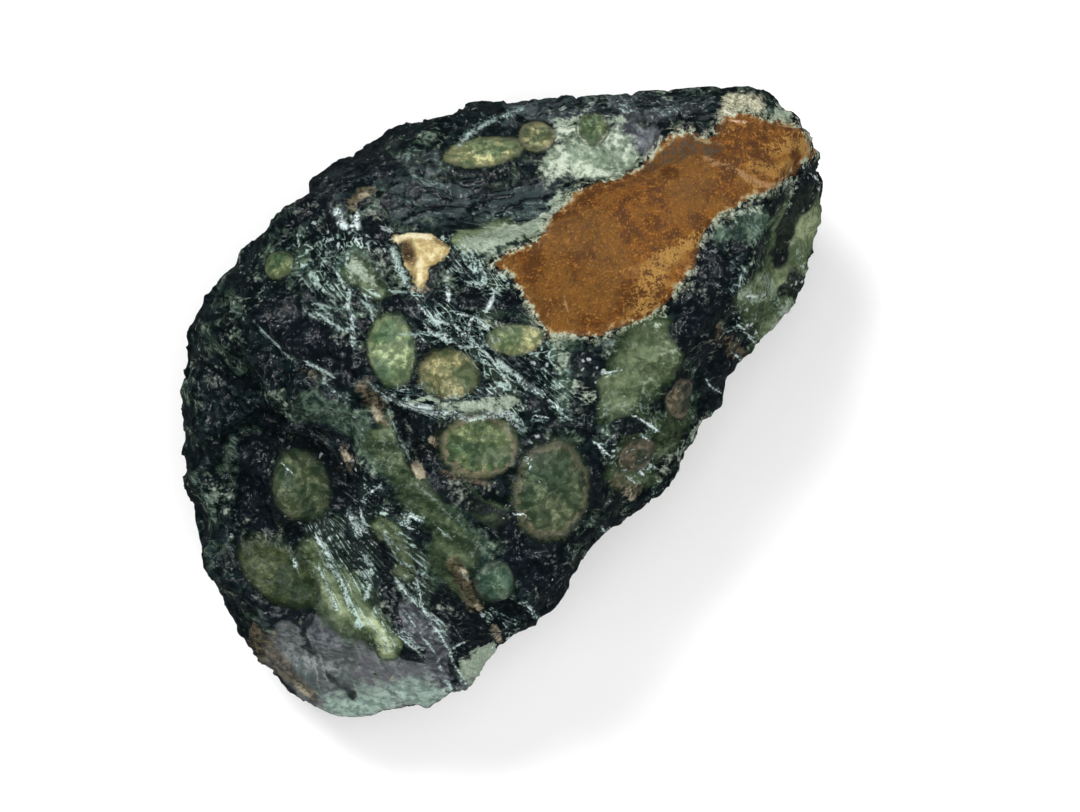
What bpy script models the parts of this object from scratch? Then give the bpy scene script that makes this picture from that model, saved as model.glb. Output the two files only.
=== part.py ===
"""One rough, freshly broken chunk of kambaba jasper, as a single closed solid.

The chunk is roughed out the way a hammer would: a blank with the plan outline of the
stone is struck by flat fractures, then by curved flake scars, and its faces are then
given their swell, ledges and hackle. It lies as it does on a table, on a small flat
spot. +Z is up, +X is right and +Y is up as the stone is seen from above.
"""

import math

import bmesh
import bpy
from mathutils import Matrix, Vector, noise

MM = 0.001

# Driving dimensions, in millimetres.
HEIGHT = 26.0
BLANK_BOTTOM = -4.0
GIRTH_OUTLINE = [
    (-16.6, 9.2),
    (-14.0, 12.2),
    (-10.4, 14.6),
    (-5.8, 17.3),
    (-0.9, 19.3),
    (5.8, 19.9),
    (12.2, 19.6),
    (14.8, 20.5),
    (17.8, 20.2),
    (20.6, 17.2),
    (21.5, 12.0),
    (20.0, 6.9),
    (16.9, 1.7),
    (13.0, -2.0),
    (9.2, -6.6),
    (5.6, -11.8),
    (3.6, -15.6),
    (0.4, -18.8),
    (-5.8, -19.5),
    (-9.0, -21.2),
    (-12.6, -18.9),
    (-15.4, -16.0),
    (-17.6, -11.4),
    (-19.4, -5.4),
    (-20.0, 0.7),
    (-18.8, 5.8),
]

# Flat fractures: a point on the plane in millimetres, the compass side that it faces
# (0 is +X, 90 is +Y) and its slope, where 0 is level, 90 upright and more is undercut.
FLAT_FRACTURES = [
    ("main face", (-3.0, 10.5, 25.0), -62, 14),
    ("rust face", (4.0, 10.6, 24.2), 32, 16),
    ("back slope", (0.0, 11.3, 24.7), 97, 48),
    ("back rim", (2.0, 18.9, 17.4), 93, 70),
    ("back left slope", (-9.5, 11.5, 22.5), 130, 48),
    ("left shoulder", (-9.0, 8.0, 23.6), 172, 17),
    ("left end", (-17.4, 3.0, 18.6), 190, 62),
    ("recess slope", (-8.2, -4.6, 22.2), 226, 36),
    ("far tip slope", (16.5, 17.6, 19.3), 62, 44),
    ("right flank, top", (16.5, 8.8, 19.8), -14, 60),
    ("right flank, middle", (10.6, 1.8, 20.6), -36, 62),
    ("right flank, bottom", (3.7, -9.7, 19.6), -38, 60),
    ("toe slope", (-0.8, -16.4, 16.0), -66, 56),
    ("grey toe face", (-9.6, -16.9, 11.4), -106, 45),
    ("left lower slope", (-16.2, -9.0, 13.0), 212, 62),
    ("undercut, back", (0.0, 19.8, 13.5), 92, 112),
    ("undercut, back left", (-10.6, 14.7, 12.5), 130, 116),
    ("undercut, far tip", (19.6, 18.8, 14.0), 48, 118),
    ("undercut, right", (21.2, 9.0, 13.0), -12, 114),
    ("undercut, right middle", (13.0, -1.9, 12.5), -40, 112),
    ("undercut, right bottom", (5.0, -13.4, 10.5), -42, 116),
    ("undercut, toe", (-4.5, -19.9, 8.0), -76, 122),
    ("undercut, toe left", (-12.4, -19.4, 6.5), -134, 122),
    ("undercut, left", (-19.4, -5.4, 9.0), 195, 120),
    ("undercut, upper left", (-18.8, 5.9, 10.5), 160, 118),
    ("belly, far tip", (13.0, 12.0, 3.0), 40, 146),
    ("belly, back", (-2.0, 13.5, 2.6), 96, 142),
    ("belly, left", (-13.0, 2.0, 2.6), 172, 144),
    ("belly, toe", (-8.0, -13.0, 2.4), -110, 148),
    ("belly, right", (7.0, -3.0, 3.0), -36, 140),
]

# Curved flake scars: a point on the struck face in millimetres, the compass side and the
# slope that the scar faces, its three radii, how deep it bites and its heading.
FLAKE_SCARS = [
    ("recess under the crest", (-14.6, -3.8, 17.5), 224, 42, (9.5, 6.0, 8.0), 2.2, -42),
    ("recess, upper end", (-17.2, 0.6, 17.4), 206, 46, (5.5, 8.0, 6.0), 1.3, 20),
    ("valley below the crest", (-7.6, -10.2, 17.6), 228, 38, (9.5, 5.5, 8.0), 1.6, -48),
    ("gutter behind the lobe", (-12.4, -8.6, 15.2), 218, 40, (8.0, 3.0, 4.0), 1.3, -35),
    ("gutter before the lobe", (-12.6, -15.4, 11.6), 240, 46, (5.5, 1.8, 2.0), 1.0, -20),
    ("back bench", (-1.5, 13.6, 22.2), 97, 48, (14.0, 4.6, 5.0), 1.3, 7),
    ("back bench, right", (8.0, 16.4, 20.2), 93, 52, (7.5, 4.0, 4.5), 0.9, 12),
    ("notch by the far tip", (12.0, 20.2, 15.0), 96, 84, (4.0, 4.0, 4.0), 0.9, 0),
    ("flank, upper shell", (19.3, 9.5, 16.0), -12, 62, (11.0, 11.0, 9.0), 0.9, 0),
    ("flank, middle shell", (14.0, 1.8, 16.5), -38, 64, (9.0, 9.0, 8.0), 0.9, 0),
    ("flank, step", (10.6, -3.0, 16.0), -30, 68, (6.0, 6.0, 5.0), 0.6, 0),
    ("flank, lower shell", (7.0, -8.5, 15.0), -42, 64, (8.0, 8.0, 7.0), 0.8, 0),
    ("toe shell", (1.2, -15.8, 12.5), -52, 60, (8.0, 8.0, 6.0), 0.4, 0),
    ("underside, right", (13.0, 6.0, 5.0), -15, 128, (22.0, 17.0, 16.0), 1.1, 30),
    ("underside, left", (-14.0, -4.0, 4.5), 190, 132, (15.0, 20.0, 15.0), 0.9, 15),
    ("underside, back", (-3.0, 16.5, 6.0), 100, 124, (20.0, 15.0, 15.0), 0.9, -10),
    ("underside, toe", (-3.5, -15.6, 4.0), -80, 130, (15.0, 11.0, 11.0), 0.8, 10),
]

# Lumps that stand proud where the rock broke round them: centre, half sizes and heading.
LUMPS = [
    ("orb in the recess", (-13.4, -4.9, 14.4), (2.1, 2.5, 2.2), 0),
    ("toe lobe", (-12.4, -12.2, 10.9), (7.2, 2.6, 3.4), -33),
]

# Faces that broke clean and stay smoother than the rest: centre and radius.
CLEAN_FACES = [
    ("rust face", (6.0, 11.5, 23.5), 8.0),
    ("rust face, far end", (15.5, 15.5, 20.5), 5.5),
    ("grey toe face", (-8.5, -17.5, 9.5), 5.5),
]
CLEAN_SHARE = 0.2
CLEAN_CORE = 0.7
CLEAN_FADE = 0.5

# Chipping: the size of the chips, how far their levels differ, how much they tilt, how
# deep each is dished, and a seed.
CHIPS = [
    (8.5, 0.45, 0.05, 0.28, 3.0),
    (3.6, 0.18, 0.05, 0.10, 11.0),
]
LEDGE_SLOPE = 0.9
LEVEL_SCRAMBLE = 97.0
LEAN_SCRAMBLE = 53.0
WANDER_SIZE = 3.0
WANDER = 1.0
WARP_SIZE = 6.5
WARP = 0.6
SWELL_SIZE = 12.0
SWELL = 0.4
GRAIN_SIZE = 2.0
GRAIN = 0.07
NOISE_SEED = 7

REMESH_VOXEL = 0.42
SOFTENING = 0.5
SOFTENING_PASSES = 2
FACES_WANTED = 9400
SPHERE_SUBDIVISIONS = 4
ROUNDING_PLACES = 3

STONE_COLOUR = (0.06, 0.08, 0.06, 1.0)
STONE_ROUGHNESS = 0.35


def clear_scene():
    for obj in list(bpy.data.objects):
        bpy.data.objects.remove(obj)


def direction(facing, slope):
    facing, slope = math.radians(facing), math.radians(slope)
    return Vector(
        (
            math.sin(slope) * math.cos(facing),
            math.sin(slope) * math.sin(facing),
            math.cos(slope),
        )
    )


def strike(bm, point, outward):
    """Cuts the mesh off flat beyond the plane and closes it."""
    geometry = bm.verts[:] + bm.edges[:] + bm.faces[:]
    cut = bmesh.ops.bisect_plane(
        bm, geom=geometry, plane_co=point, plane_no=outward, clear_outer=True
    )
    rim = [e for e in cut["geom_cut"] if isinstance(e, bmesh.types.BMEdge)]
    if rim:
        bmesh.ops.holes_fill(bm, edges=rim, sides=0)
        bmesh.ops.recalc_face_normals(bm, faces=bm.faces)


def struck_blank():
    """The outline pulled up to full height, then cut back by each flat fracture."""
    bm = bmesh.new()
    ring = [bm.verts.new((x, y, BLANK_BOTTOM)) for x, y in GIRTH_OUTLINE]
    base = bm.faces.new(ring)
    grown = bmesh.ops.extrude_face_region(bm, geom=[base])
    top = [v for v in grown["geom"] if isinstance(v, bmesh.types.BMVert)]
    bmesh.ops.translate(bm, verts=top, vec=(0, 0, HEIGHT - BLANK_BOTTOM))
    bmesh.ops.recalc_face_normals(bm, faces=bm.faces)
    for name, point, facing, slope in FLAT_FRACTURES:
        strike(bm, Vector(point), direction(facing, slope))
    hull = bmesh.new()
    for corner in sorted(rounded(v.co) for v in bm.verts):
        hull.verts.new(corner)
    bm.free()
    bmesh.ops.convex_hull(hull, input=hull.verts)
    return new_mesh("stone", hull)


def rounded(co):
    """The same point to the last micrometre, so that every run starts from one shape."""
    return tuple(round(value, ROUNDING_PLACES) for value in co)


def new_mesh(name, bm):
    mesh = bpy.data.meshes.new(name)
    bm.to_mesh(mesh)
    bm.free()
    return mesh


def ellipsoid(name, centre, half_sizes, heading, collection):
    bm = bmesh.new()
    bmesh.ops.create_icosphere(bm, subdivisions=SPHERE_SUBDIVISIONS, radius=1.0)
    bmesh.ops.scale(bm, vec=half_sizes, verts=bm.verts)
    turn = Matrix.Rotation(math.radians(heading), 3, "Z")
    bmesh.ops.rotate(bm, matrix=turn, verts=bm.verts)
    bmesh.ops.translate(bm, vec=centre, verts=bm.verts)
    cutter = bpy.data.objects.new(name, new_mesh(name, bm))
    cutter.display_type = "WIRE"
    cutter.hide_render = True
    collection.objects.link(cutter)
    return cutter


def reach_of(outward, radii, heading):
    """How far the ellipsoid's surface lies from its centre in the outward direction."""
    local = Matrix.Rotation(math.radians(-heading), 3, "Z") @ outward
    return 1.0 / Vector([local[axis] / radii[axis] for axis in range(3)]).length


def combine(stone, other, operation):
    modifier = stone.modifiers.new(other.name, "BOOLEAN")
    modifier.object = other
    modifier.operation = operation
    modifier.solver = "EXACT"


def bake(stone):
    """Turns the object's modifiers into its mesh."""
    graph = bpy.context.evaluated_depsgraph_get()
    mesh = bpy.data.meshes.new_from_object(stone.evaluated_get(graph))
    stone.modifiers.clear()
    stone.data = mesh


def roughness_at(co):
    """1 where the rock broke rough, down to CLEAN_SHARE on the clean faces."""
    share = 1.0
    for name, centre, radius in CLEAN_FACES:
        away = (co - Vector(centre)).length / radius
        blend = min(max((away - CLEAN_CORE) / CLEAN_FADE, 0.0), 1.0)
        share = min(share, CLEAN_SHARE + (1.0 - CLEAN_SHARE) * blend)
    return share


def chipped(co, size, step, tilt, dish, seed):
    """Height of a surface chipped into small dished facets that meet in sharp ridges."""
    shifted = co / size + Vector((seed, seed, seed))
    distances, centres = noise.voronoi(shifted)
    heights = []
    for distance, centre in zip(distances, centres):
        level = noise.cell(centre * LEVEL_SCRAMBLE) * step + dish * distance**2
        lean = noise.cell_vector(centre * LEAN_SCRAMBLE) * 2.0 - Vector((1.0, 1.0, 1.0))
        ledge = (distance - distances[0]) * size * LEDGE_SLOPE / 2
        heights.append(level + lean.dot(shifted - centre) * size * tilt + ledge)
    return min(heights)


def vertex_normals(mesh):
    """The vertices' normals, added up in one fixed order so that every run agrees."""
    normals = [Vector((0.0, 0.0, 0.0)) for vertex in mesh.vertices]
    for polygon in mesh.polygons:
        for index in polygon.vertices:
            normals[index] += polygon.normal * polygon.area
    return [normal.normalized() for normal in normals]


def break_rough(mesh):
    """Bends the surface out of true and raises the swell, the chips and the grain on it."""
    moves = []
    for vertex, normal in zip(mesh.vertices, vertex_normals(mesh)):
        co = vertex.co
        wandered = co + noise.noise_vector(co / WANDER_SIZE) * WANDER
        height = noise.noise(co / SWELL_SIZE) * SWELL
        rough = noise.noise(co / GRAIN_SIZE) * GRAIN
        for size, step, tilt, dish, seed in CHIPS:
            rough += chipped(wandered, size, step, tilt, dish, seed)
        share = roughness_at(co)
        warp = noise.noise_vector(co / WARP_SIZE) * WARP * share
        moves.append(normal * (height + rough * share) + warp)
    for vertex, move in zip(mesh.vertices, moves):
        vertex.co = rounded(vertex.co + move)


def stand_on_foot(mesh):
    """Cuts a level foot and brings the middle of the stone's box over the origin."""
    bm = bmesh.new()
    bm.from_mesh(mesh)
    strike(bm, Vector((0.0, 0.0, 0.0)), Vector((0.0, 0.0, -1.0)))
    bmesh.ops.triangulate(bm, faces=bm.faces)
    xs = [v.co.x for v in bm.verts]
    ys = [v.co.y for v in bm.verts]
    centre = Vector(((min(xs) + max(xs)) / 2, (min(ys) + max(ys)) / 2, 0.0))
    bmesh.ops.translate(bm, vec=-centre, verts=bm.verts)
    bm.to_mesh(mesh)
    bm.free()


def stone_material():
    material = bpy.data.materials.new("jasper")
    material.use_nodes = True
    shader = material.node_tree.nodes["Principled BSDF"]
    shader.inputs["Base Color"].default_value = STONE_COLOUR
    shader.inputs["Roughness"].default_value = STONE_ROUGHNESS
    shader.inputs["Metallic"].default_value = 0.0
    return material


def modify(stone, kind, **settings):
    modifier = stone.modifiers.new(kind, kind)
    for name, value in settings.items():
        setattr(modifier, name, value)
    bake(stone)


def main():
    clear_scene()
    noise.seed_set(NOISE_SEED)
    collection = bpy.data.collections.new("kambaba_jasper")
    cutters = bpy.data.collections.new("cutters")
    cutters.hide_render = True
    bpy.context.scene.collection.children.link(collection)
    bpy.context.scene.collection.children.link(cutters)
    stone = bpy.data.objects.new("jasper_stone", struck_blank())
    collection.objects.link(stone)
    for name, point, facing, slope, radii, depth, heading in FLAKE_SCARS:
        outward = direction(facing, slope)
        reach = reach_of(outward, radii, heading) - depth
        scar = ellipsoid(name, Vector(point) + outward * reach, radii, heading, cutters)
        combine(stone, scar, "DIFFERENCE")
    for name, centre, half_sizes, heading in LUMPS:
        combine(stone, ellipsoid(name, centre, half_sizes, heading, cutters), "UNION")
    bake(stone)
    modify(stone, "REMESH", mode="VOXEL", voxel_size=REMESH_VOXEL)
    modify(stone, "SMOOTH", factor=SOFTENING, iterations=SOFTENING_PASSES)
    for vertex in stone.data.vertices:
        vertex.co = rounded(vertex.co)
    break_rough(stone.data)
    modify(stone, "DECIMATE", ratio=FACES_WANTED / (2 * len(stone.data.polygons)))
    stand_on_foot(stone.data)
    stone.data.materials.clear()
    stone.data.materials.append(stone_material())
    for obj in [stone, *cutters.objects]:
        obj.data.transform(Matrix.Scale(MM, 4))


main()
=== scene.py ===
import math
import random

import bmesh
import bpy
import numpy as np
from mathutils import Matrix, Vector, noise
from mathutils.bvhtree import BVHTree


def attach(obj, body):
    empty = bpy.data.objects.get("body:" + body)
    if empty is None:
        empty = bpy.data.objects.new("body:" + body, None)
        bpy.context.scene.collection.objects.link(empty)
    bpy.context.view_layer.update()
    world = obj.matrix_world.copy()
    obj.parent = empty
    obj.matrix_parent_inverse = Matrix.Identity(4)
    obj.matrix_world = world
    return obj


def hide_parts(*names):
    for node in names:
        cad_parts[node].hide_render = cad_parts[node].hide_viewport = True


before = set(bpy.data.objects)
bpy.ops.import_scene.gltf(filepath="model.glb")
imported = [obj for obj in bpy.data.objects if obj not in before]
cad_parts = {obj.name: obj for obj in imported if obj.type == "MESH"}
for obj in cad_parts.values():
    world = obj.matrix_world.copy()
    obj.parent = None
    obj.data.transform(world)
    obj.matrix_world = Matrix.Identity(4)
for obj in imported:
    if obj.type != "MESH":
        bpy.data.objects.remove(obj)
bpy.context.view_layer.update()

# Camera
# The photograph looks almost straight down on the stone, from a little behind and to the
# left of it. This camera stands nearer and sees only this stone, from the same direction.
EYE = Vector((-0.0485, 0.0477, 0.533))
AIM = Vector((0.0023, 0.0, 0.013))
FIELD_WIDTH = 0.070
SENSOR_WIDTH = 36.0

BACK = (EYE - AIM).normalized()
RIGHT = Vector((0.0, 1.0, 0.0)).cross(BACK).normalized()
UP = BACK.cross(RIGHT)

camera_data = bpy.data.cameras.new("camera")
camera_data.sensor_width = SENSOR_WIDTH
camera_data.lens = SENSOR_WIDTH * (EYE - AIM).length / FIELD_WIDTH
camera_data.clip_start = 0.01
camera_data.clip_end = 20.0
camera = bpy.data.objects.new("camera", camera_data)
bpy.context.scene.collection.objects.link(camera)
camera.matrix_world = Matrix.Translation(EYE) @ Matrix((RIGHT, UP, BACK)).transposed().to_4x4()
bpy.context.scene.camera = camera
bpy.context.scene.view_settings.view_transform = "Standard"

# A mark on the stone is placed by where the photograph shows it. These turn a place in
# the photograph into mm on the plane through AIM, and points of the stone into the same.
MM = 1000.0
PHOTO_AIM = (787.7, 638.5)
MM_PER_PIXEL = 0.205


def on_plane(x, y):
    return (x - PHOTO_AIM[0]) * MM_PER_PIXEL, (PHOTO_AIM[1] - y) * MM_PER_PIXEL


def seen(points):
    """Where the camera sees these points (mm): across and up on the plane, in mm."""
    away = points - np.array(EYE) * MM
    scale = (EYE - AIM).length * MM / -(away @ np.array(BACK))
    return (away @ np.array(RIGHT)) * scale, (away @ np.array(UP)) * scale


# The stone
# One piece of kambaba jasper as it was broken from the block: a dark, fine chert with olive
# orbs and one face stained by rust. It grew as one piece, so it is one mesh, made from the
# CAD stone: first comes where its marks lie, then its body, then its finish.

# Its marks: outlines and strokes, as places in the photograph.
RUST_OUTLINE = [
    (773, 593), (779, 589.5), (787, 586), (790, 580), (796, 574), (799, 571), (804, 569),
    (812, 567), (820, 563), (825, 556), (829, 553), (834, 552), (840, 554), (843, 553), (844, 549),
    (847, 546.5), (853, 545.5), (860, 548), (868, 549), (874, 554), (876, 557), (871, 561),
    (868, 565), (862, 569), (855, 572), (850, 575), (845, 578), (841, 581), (839, 585), (836, 595),
    (832, 600), (826, 607), (820, 611), (812, 613), (806, 616), (798, 616), (791, 617), (787, 611),
    (783, 603), (780, 598),
]
RIND_OUTLINE = [
    (739.5, 585.5), (742, 584.6), (746, 584), (750, 583.6), (754, 584), (757, 586), (759, 588.5),
    (758.5, 590.5), (755.5, 592.5), (753, 594.5), (752, 597.5), (751, 600), (749.5, 601),
    (748, 600), (747.3, 597), (745, 594.5), (744, 592.3), (743.3, 589.5), (743.5, 587),
    (741, 586.5),
]
TOE_OUTLINE = [
    (706, 706), (716, 706), (724, 706), (732, 714), (740, 718), (745, 718), (757, 720), (768, 725),
    (760, 734), (741, 738), (735, 744), (727, 747), (712, 742), (700, 726), (700, 714),
]
# Strokes: from x, y to x, y, half width in pixels, strength. The edges of these are pushed about,
# so that none is even. The hollow round the knob is pressed in, the rest is colour, among it
# painted shade in hollows and on slopes turned from the light, painted glints as pale specks, and a
# painted reflection along the right flank's edge.
BROKEN_STROKES = {
    "net": [
        (790, 546, 838, 545, 4, 0.5), (714, 592, 732, 604, 7, 0.62), (702, 604, 726, 618, 5, 0.30),
        (752, 608, 778, 626, 8, 1.0), (745, 635, 780, 637, 5, 1.1), (782, 620, 800, 640, 7, 0.75),
        (718, 584, 736, 589, 4, 0.8), (762, 590, 774, 602, 6, 0.9), (848, 600, 858, 624, 7, 0.4),
        (870, 592, 874, 600, 4, 0.6), (812, 650, 822, 664, 6, 0.5), (774, 706, 782, 712, 4, 0.7),
    ],
    "splinters": [
        (718, 679, 730, 705, 5, 1.0), (729, 666, 735, 700, 5, 1.0), (744, 690, 761, 722, 6, 1.0),
        (733, 696, 743, 712, 4, 0.6), (739, 672, 748, 690, 5, 0.6), (724, 699, 738, 714, 3.5, 0.7),
    ],
    "green": [
        (808, 630, 806, 638, 3.5, 1.1), (846, 584, 860, 579, 4, 1.0), (752, 684, 760, 698, 5, 0.8),
        (752, 668, 768, 684, 6, 0.9), (734, 650, 750, 666, 6, 0.9), (716, 639, 734, 646, 6, 1.0),
        (728, 594, 737, 603, 4.5, 1.0), (795, 616, 799, 634, 6, 0.85),
        (704, 590, 712, 596, 5, 0.6), (766, 587, 784, 584, 4, 0.8), (752, 700, 760, 690, 5, 0.5),
        (786, 646, 800, 648, 3, 0.5),
    ],
    # Some dark strokes are painted shade: the hollow round the knob and the recess left of it,
    # under the ledge, under the lobe's rim and on the back slope turned from the light. The rest
    # are dark rock.
    "dark": [
        (714, 572, 736, 563, 6, 1.2), (842, 592, 838, 614, 5, 1.0), (836, 612, 848, 632, 6, 1.0),
        (872, 568, 863, 592, 3.5, 1.0), (742, 572, 792, 573, 5, 0.9), (746, 645, 751, 655, 6, 1.3),
        (720, 580, 738, 584, 4, 0.8), (756, 662, 782, 678, 4, 0.9), (784, 684, 796, 700, 9, 1.1),
        (757, 702, 768, 714, 6, 1.1), (706, 648, 722, 651, 6, 1.3), (724, 656, 728, 670, 4.5, 1.3),
        (696, 652, 699, 672, 6, 1.3), (706, 612, 726, 626, 8, 1.0), (712, 600, 724, 604, 3, 0.7),
        (762, 605, 784, 606, 3, 1.2), (802, 626, 802, 646, 4, 1.0), (698, 700, 714, 706, 4, 1.1),
        (812, 645, 818, 645, 2.5, 1.2), (742, 606, 750, 610, 4, 1.1), (704, 574, 716, 584, 4, 0.6),
        (778, 624, 784, 628, 3, 1.2), (761, 716, 762, 721, 2.4, 1.5),
        (777, 713, 779, 715, 1.6, 1.2), (866, 602, 871, 600, 3, 1.1),
        (738, 684, 740, 704, 2.6, 1.3), (804, 655, 806, 668, 3, 0.9),
        (720, 723, 728, 731, 1.5, 0.8), (711, 707, 716, 717, 1.5, 0.8),
        (697, 716, 706, 729, 1.5, 1.0), (741.5, 704, 744, 708, 0.9, 1.3),
        (744.5, 715.5, 751, 718.5, 0.9, 1.4), (745.5, 711, 750, 715, 0.6, 1.1),
        (747, 678, 751, 681, 1.8, 0.9), (728, 578, 728, 583, 1.2, 1.2),
        (731, 584, 738, 590, 2.5, 0.8), (836, 604, 838, 618, 5, 1.2),
        (868, 598, 873, 605, 3.5, 1.0), (757, 703, 766, 713, 6, 1.2), (754, 665, 760, 668, 3, 0.8),
        (757, 564, 775, 565, 1.6, 0.9),
    ],
    "pale": [
        (793, 621, 796, 626, 2.2, 0.7), (799, 632, 803, 636, 1.8, 0.6),
        # The first stroke on this line is a painted glint. The next three, along the right flank's
        # edge down to 826, 660, are partly pale chips and partly a painted reflection of the floor.
        (852, 604, 858, 605, 1.4, 0.8), (867, 607, 860, 621, 1.6, 0.75),
        (842, 640, 836, 649, 1.6, 0.75), (832, 652, 826, 660, 1.4, 0.65),
        (864, 546, 872, 552, 1.4, 0.9), (770, 614, 784, 614, 2, 0.6),
        (766, 588, 786, 581, 2.6, 0.9), (786, 580, 796, 572, 1.8, 0.9),
        (765, 722, 771, 716, 3.0, 1.4), (746, 638, 762, 638.5, 1.8, 0.8),
        (762, 639, 779, 638, 2.4, 0.9), (720, 738, 740, 732, 5.0, 1.0),
        (734, 730, 758, 728, 3.4, 0.9), (793, 548, 812, 549, 2.0, 0.7),
        (867, 574, 869, 568, 1.6, 0.6), (848, 578, 858, 576, 1.6, 0.7),
        (730, 595, 735, 599, 1.8, 0.9), (829, 606, 826, 614, 2, 0.5),
    ],
    "olive": [
        (738, 650, 748, 664, 6, 0.58), (751, 668, 764, 684, 6.5, 0.58),
        (757, 684, 764, 696, 6, 0.52), (765, 667, 776, 673, 4, 0.80),
        (730, 596, 737, 602, 4, 0.70), (764, 586, 784, 582, 2.6, 0.85),
        (700, 682, 712, 694, 7, 0.44), (710, 690, 720, 700, 6, 0.55),
        (718, 692, 733, 708, 7.5, 0.78), (715, 684, 721, 698, 4.5, 0.90),
        (720, 696, 732, 709, 3.0, 1.2), (728, 704, 740, 715, 3.6, 1.30),
        (738, 676, 745, 688, 3.6, 1.1), (872, 577, 865, 597, 8, 1.22),
        (876, 580, 876, 589, 3, 1.0), (864, 596, 861, 603, 2.6, 0.8),
        (857, 606, 862, 618, 7, 0.78), (866, 606, 862, 616, 3, 0.9), (852, 626, 858, 618, 3, 0.7),
        (820, 646, 818, 660, 7, 0.62), (832, 640, 826, 652, 4, 0.6), (822, 615, 812, 636, 9, 0.85),
        (830, 614, 824, 630, 6, 0.78),
    ],
    "tuft": [
        (792, 562, 812, 562, 5.5, 1.0), (796, 553, 811, 556, 5, 0.8), (788, 562, 792, 566, 3, 0.9),
    ],
    "grey": [
        (852, 606, 862, 600, 5, 0.45), (814, 552, 822, 554, 4.5, 1.0),
        (784, 546, 838, 545, 4, 0.52), (744, 704, 759, 722, 5.5, 1.0),
        (715, 709, 728, 713, 3.2, 0.9), (742, 563, 754, 561, 4, 0.4),
        (722, 574, 726, 582, 2.5, 0.9), (742, 644, 750, 653, 4, 0.3),
        (786, 686, 794, 700, 5, 0.35), (866, 594, 862, 604, 2.5, 0.7),
        (868, 568, 864, 578, 2, 0.6),
    ],
    "brown": [
        (698, 711, 708, 725, 2.6, 0.9), (706, 722, 715, 731, 2.2, 0.9),
        (757, 659, 772, 661, 1.6, 0.8), (763, 688, 765, 698, 2.6, 1.1),
        (733, 634, 737, 644, 2.6, 0.8), (844, 613, 850, 622, 3, 0.7), (814, 661, 818, 667, 3, 0.8),
        (728, 575, 733, 573, 1.8, 0.9), (712, 627, 716, 629, 2, 0.6), (725, 653, 727, 657, 2, 0.7),
        (766, 700, 769, 703, 1.8, 0.9), (761, 688, 767, 702, 3.2, 0.7),
    ],
    "streaks": [
        (722, 570, 756, 564, 7, 0.45), (745, 574, 795, 574, 7, 1.0), (780, 545, 838, 543, 5, 0.7),
        (700, 708, 716, 730, 4, 0.6),
    ],
    # Gold on the rust: partly its own yellow, partly painted highlights of shiny places.
    "gold_and_highlight": [
        (818, 606, 828, 592, 5, 0.9), (826, 588, 838, 583, 4, 1.0), (848, 553, 870, 554, 5, 0.8),
        (856, 562, 868, 565, 3, 0.7), (830, 584, 837, 588, 3, 1.0), (846, 562, 856, 568, 1.5, 0.6),
        (798, 588, 812, 600, 6, 0.2),
    ],
    "smut": [
        (822, 563, 832, 556, 3.5, 1.0), (832, 553, 842, 556, 3, 1.0), (843, 550, 846, 549, 2, 0.7),
    ],
    # Where pale specks are laid on small flats: painted glints.
    "glint_specks": [
        (874, 592, 877, 600, 3, 1.1), (853, 603, 857, 605, 2.5, 1.1),
        (852, 612, 855, 618, 2.5, 1.1), (870, 562, 877, 574, 3, 0.9), (716, 586, 738, 590, 6, 1.0),
        (814, 654, 826, 660, 6, 1.0), (870, 598, 878, 592, 4, 1.0), (788, 622, 800, 642, 6, 0.45),
        (858, 542, 868, 548, 3, 0.9), (774, 704, 784, 712, 6, 0.9), (722, 652, 730, 656, 4, 0.8),
        (762, 592, 774, 602, 6, 0.7), (846, 602, 858, 626, 7, 0.5), (752, 608, 780, 622, 6, 0.5),
        (804, 626, 812, 636, 4, 0.7), (806, 670, 812, 680, 4, 0.6), (742, 690, 756, 712, 6, 0.3),
        (784, 650, 790, 660, 4, 0.6), (700, 600, 724, 612, 6, 0.3), (716, 640, 732, 646, 6, 0.25),
    ],
    "hollow": [
        (700, 648, 724, 650, 8, 1.0), (700, 656, 698, 672, 6, 0.9), (725, 654, 728, 668, 4, 0.6),
        (743, 645, 750, 653, 4, 0.7),
    ],
}
# The edges of these small ones stay almost as drawn.
SMALL_STROKES = {
    "pit": [
        (744.8, 587.6, 746.0, 591.2, 1.8, 1.1),
    ],
    "cream": [
        (848, 542, 857, 542.5, 3.0, 0.66), (845, 546.5, 850, 545, 2.0, 0.62),
        (741, 585.4, 745, 585, 0.9, 0.9), (746, 584.6, 753, 584.8, 0.9, 1.0),
        (749.4, 593, 750, 599, 1.3, 0.55), (753, 591.6, 757, 590.8, 0.8, 0.55),
    ],
    "tan": [
        (745.5, 587, 747, 592.5, 2.2, 0.9), (755, 585.8, 757.5, 587, 1.1, 0.9),
        (747, 593.5, 748.2, 598, 0.9, 0.7),
    ],
    "buff": [
        (711, 727, 714, 730, 1.2, 0.8), (748.5, 657.5, 750, 660, 1.9, 1.0),
        (725, 653, 726.5, 655.5, 1.4, 0.8), (735, 640, 736.5, 642, 1.6, 0.8),
        (754, 649, 755, 651, 1.3, 0.8), (773, 709, 774.5, 712, 1.6, 0.7),
        (703, 710, 704, 713, 1.2, 0.7), (815, 665, 817, 668, 1.4, 0.7),
        (731, 572.5, 733, 572.5, 1.0, 0.8), (748, 601.5, 752, 601, 1.4, 0.7),
        (763.5, 690, 765, 693, 1.2, 0.7), (768, 702, 769, 703, 1.0, 0.8),
    ],
}
# A stroke fades between these shares of its half width, and a mark, and the veins and painted
# glints, where the face turns away: shares of facing the camera, from none to full.
STROKE_FADE = (0.45, 1.5)
MARK_FACING = (-0.05, 0.2)
VEIN_AND_GLINT_FACING = (0.1, 0.45)
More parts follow.
